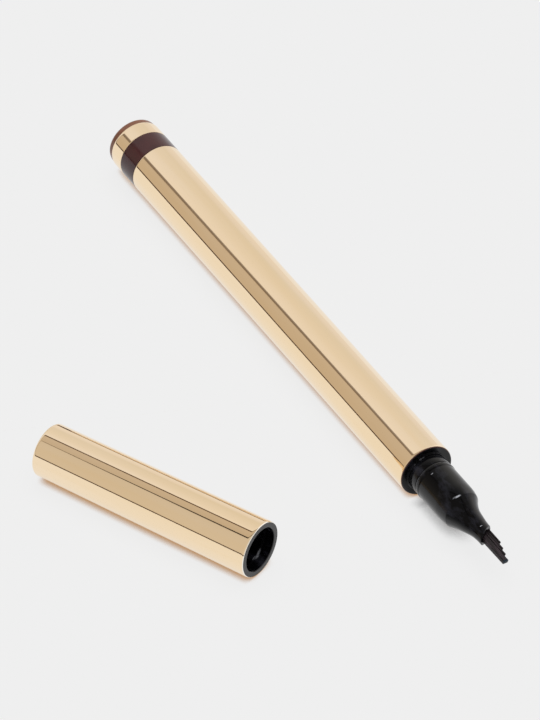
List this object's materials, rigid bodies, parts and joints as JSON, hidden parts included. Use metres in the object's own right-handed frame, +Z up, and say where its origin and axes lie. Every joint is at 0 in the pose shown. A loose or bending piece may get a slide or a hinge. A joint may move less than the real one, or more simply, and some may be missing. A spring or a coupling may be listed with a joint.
{
  "type": "eyebrow pen",
  "caption": "Slim felt-reservoir eyebrow pen with a flat fork nib, a hollowed-cone nozzle and a pull-off cap lying beside it.",
  "frame": {"origin": "on the table, under the middle of the box round the pen and its cap", "axes": "+Z up from the table, +X along the cap's axis from its closed end to its mouth; the pen's nib points along +X turned 24.6 degrees towards -Y"},
  "size_m": [0.1148, 0.0818, 0.0101],
  "materials": {
    "metallised_gold": "vacuum-metallised pale gold under clear lacquer, mirror gloss",
    "black_polypropylene": "moulded, glossy",
    "burgundy_plastic": "moulded, glossy dark burgundy-brown",
    "white_polypropylene": "moulded, satin",
    "soft_polyethylene": "soft, moulded",
    "inked_fibre": "bonded polyester fibre, soaked with liquid",
    "inked_nib": "fibre-structured nylon, stained dark",
    "clear_film": "thin clear wrap"
  },
  "bodies": {
    "pen": {"barrel_shell": "metallised_gold", "rear_ring": "metallised_gold", "shade_band": "burgundy_plastic", "rear_plug": "burgundy_plastic", "barrel_liner": "black_polypropylene", "front_collar": "black_polypropylene", "nozzle": "black_polypropylene", "fork_nib": "inked_nib", "nib_sleeve": "white_polypropylene", "feed_wick": "inked_fibre", "reservoir_core": "inked_fibre", "reservoir_film": "clear_film"},
    "cap": {"cap_shell": "metallised_gold", "cap_liner": "black_polypropylene", "cap_seal": "soft_polyethylene"}
  },
  "joints": [
    {"name": "cap_lift", "type": "slide", "parent": "pen", "child": "cap", "axis": [0, 0, 1], "range_m": [0, 0.06]}
  ]
}
